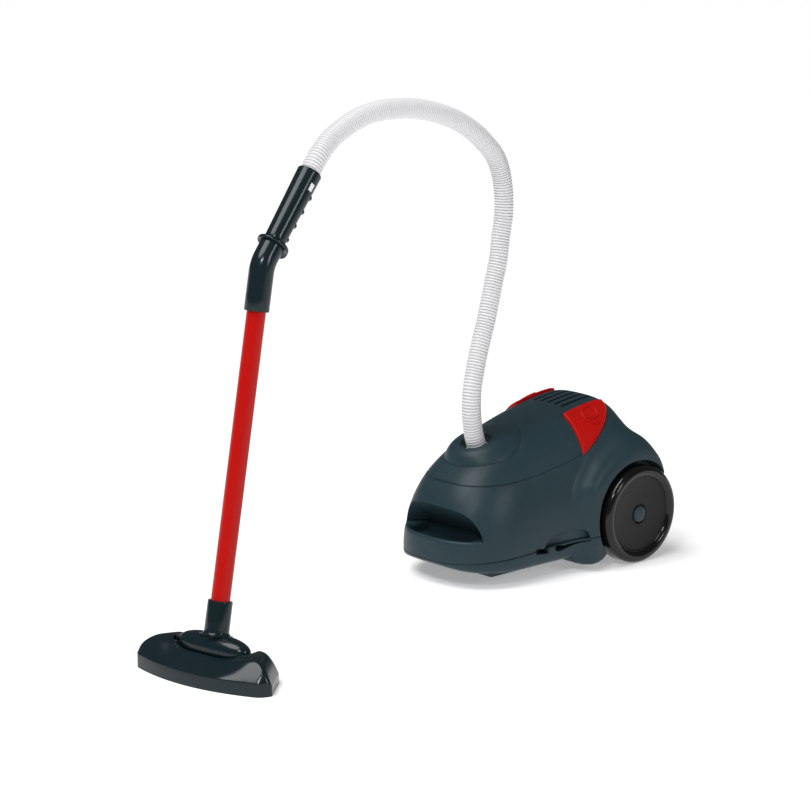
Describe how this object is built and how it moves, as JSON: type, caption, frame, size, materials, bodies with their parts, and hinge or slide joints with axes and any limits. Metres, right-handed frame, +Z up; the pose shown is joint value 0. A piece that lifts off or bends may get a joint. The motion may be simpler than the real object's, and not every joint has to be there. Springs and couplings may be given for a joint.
{
  "type": "toy vacuum cleaner",
  "caption": "Toy canister vacuum cleaner: wheeled body with push buttons, ribbed hose in an arch, bent handle with finger ridges, straight wand and tilting floor nozzle.",
  "frame": {"origin": "on the floor, below the middle of the outline of body, wand and nozzle taken together", "axes": "+Z up, +Y from the nozzle back to the tail of the body, +X to the body's left side, with the nose pointing along -Y"},
  "size_m": [0.267, 0.6662, 0.5137],
  "materials": {
    "shell_plastic": "satin dark teal moulded plastic",
    "gloss_dark_plastic": "glossy dark teal moulded plastic",
    "red_plastic": "glossy red moulded plastic",
    "wheel_plastic": "black plastic, glossy rim and satin disc",
    "white_plastic": "white flexible plastic",
    "inner_plastic": "plain black plastic",
    "fan_plastic": "orange plastic",
    "steel": "plain bright steel",
    "cell_wrap": "cell wrapper"
  },
  "bodies": {
    "canister": {"upper_shell": "shell_plastic", "base_pan": "shell_plastic", "top_cover": "shell_plastic", "left_button_spring": "steel", "right_button_spring": "steel", "push_switches": "inner_plastic", "rear_axle": "steel", "left_hub_cap": "shell_plastic", "right_hub_cap": "shell_plastic", "battery_box": "inner_plastic", "battery_cells": "cell_wrap", "battery_contacts": "steel", "battery_door": "shell_plastic", "battery_door_screw": "steel", "motor_tower": "inner_plastic", "motor": "steel", "fan_housing": "inner_plastic", "case_screws": "steel"},
    "left_button": {"left_button": "red_plastic"},
    "right_button": {"right_button": "red_plastic"},
    "left_wheel": {"left_wheel": "wheel_plastic"},
    "right_wheel": {"right_wheel": "wheel_plastic"},
    "caster": {"caster_fork": "inner_plastic", "caster_axle": "steel"},
    "caster_roller": {"caster_wheel": "inner_plastic"},
    "fan": {"fan": "fan_plastic"},
    "hose_and_handle": {"inlet_cuff": "white_plastic", "inlet_clip": "inner_plastic", "hose": "white_plastic", "grip_cuff": "white_plastic", "grip": "gloss_dark_plastic", "elbow": "gloss_dark_plastic"},
    "wand": {"wand_tube": "red_plastic", "neck": "gloss_dark_plastic"},
    "nozzle": {"nozzle_shell": "gloss_dark_plastic", "nozzle_pin": "steel"}
  },
  "joints": [
    {"name": "left_wheel_spin", "type": "hinge", "parent": "canister", "child": "left_wheel", "pos_m": [0.04955, 0.28106, 0.052], "axis": [1, 0, 0], "continuous": true},
    {"name": "right_wheel_spin", "type": "hinge", "parent": "canister", "child": "right_wheel", "pos_m": [-0.12245, 0.28106, 0.052], "axis": [1, 0, 0], "continuous": true},
    {"name": "caster_swivel", "type": "hinge", "parent": "canister", "child": "caster", "pos_m": [-0.03645, 0.15706, 0.03], "axis": [0, 0, 1], "continuous": true},
    {"name": "caster_roll", "type": "hinge", "parent": "caster", "child": "caster_roller", "pos_m": [-0.03645, 0.16406, 0.01], "axis": [1, 0, 0], "continuous": true},
    {"name": "left_button_press", "type": "slide", "parent": "canister", "child": "left_button", "axis": [0, 0, -1], "range_m": [0, 0.0025], "stiffness_N_per_m": 500, "springref_m": -0.003, "deforming": ["left_button_spring"]},
    {"name": "right_button_press", "type": "slide", "parent": "canister", "child": "right_button", "axis": [0, 0, -1], "range_m": [0, 0.0025], "stiffness_N_per_m": 500, "springref_m": -0.003, "deforming": ["right_button_spring"]},
    {"name": "fan_spin", "type": "hinge", "parent": "canister", "child": "fan", "pos_m": [-0.03645, 0.25706, 0.138], "axis": [0, 0, 1], "continuous": true},
    {"name": "inlet_swivel", "type": "hinge", "parent": "canister", "child": "hose_and_handle", "pos_m": [-0.03645, 0.13006, 0.14094], "axis": [0, -0.309, 0.9511], "continuous": true},
    {"name": "wand_twist", "type": "hinge", "parent": "hose_and_handle", "child": "wand", "pos_m": [0.03673, -0.21732, 0.38222], "axis": [-0.034, 0.2034, 0.9785], "continuous": true},
    {"name": "nozzle_tilt", "type": "hinge", "parent": "wand", "child": "nozzle", "pos_m": [0.04905, -0.29094, 0.028], "axis": [0.9863, 0.165, 0], "range_deg": [-15, 60]}
  ]
}
